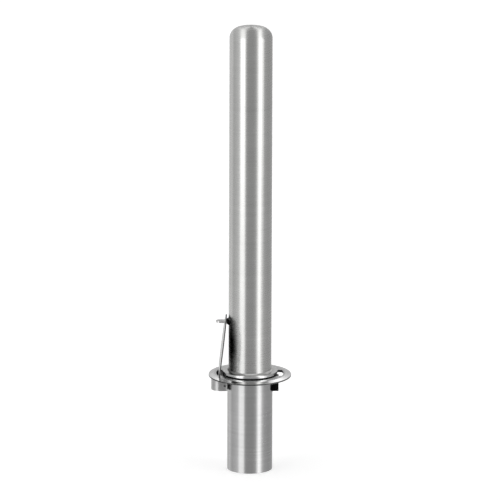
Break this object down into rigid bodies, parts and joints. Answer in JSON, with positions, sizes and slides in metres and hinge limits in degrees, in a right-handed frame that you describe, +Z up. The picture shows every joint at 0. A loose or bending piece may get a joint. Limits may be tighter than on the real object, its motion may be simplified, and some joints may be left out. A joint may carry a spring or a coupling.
{
  "type": "removable bollard with ground socket",
  "caption": "Round steel lift-out bollard with a domed top, standing on its collar in a flanged ground socket whose hinged lid stands against the post over a lock tongue.",
  "frame": {"origin": "on the post's axis at the socket's lower end", "axes": "+Z up the post; +X away from the lid hinge, so the lid stands on the -X side; -Y is the front"},
  "size_m": [0.208, 0.208, 1.1435],
  "materials": {
    "post_steel": "satin brushed round the tube",
    "socket_steel": "satin brushed round the tube",
    "flange_steel": "fine brushed, near polished",
    "collar_steel": "fine brushed, near polished",
    "pocket_steel": "brushed sheet",
    "lid_steel": "brushed sheet",
    "tongue_steel": "polished plate",
    "hinge_steel": "drawn bar, dulled",
    "weld_bead": "brushed weld bead",
    "keeper_black": "black, semi-matt",
    "gasket_rubber": "matt black",
    "plug_plastic": "moulded black",
    "bush_nylon": "natural nylon"
  },
  "bodies": {
    "socket": {"socket_tube": "socket_steel", "flange_plate": "flange_steel", "flange_weld": "weld_bead", "hinge_pocket": "pocket_steel", "pocket_floor": "pocket_steel", "pocket_weld": "weld_bead", "hinge_ears": "pocket_steel", "hinge_pin": "hinge_steel", "pin_washers": "hinge_steel", "keeper_lug": "keeper_black", "keeper_weld": "keeper_black"},
    "post": {"post_tube": "post_steel", "dome_cap": "post_steel", "collar_gasket": "gasket_rubber", "stop_collar": "collar_steel", "collar_weld": "weld_bead", "lock_tongue": "tongue_steel", "tongue_weld": "weld_bead", "tongue_buffer": "gasket_rubber", "foot_plug": "plug_plastic"},
    "lid": {"lid_plate": "lid_steel", "lid_barrel": "hinge_steel", "barrel_weld": "weld_bead", "lid_bushes": "bush_nylon"}
  },
  "joints": [
    {"name": "post_lift", "type": "slide", "parent": "socket", "child": "post", "axis": [0, 0, 1], "range_m": [0, 0.93]},
    {"name": "lid_swing", "type": "hinge", "parent": "socket", "child": "lid", "pos_m": [-0.0685, 0, 0.2395], "axis": [0, -1, 0], "range_deg": [0, 16]}
  ]
}
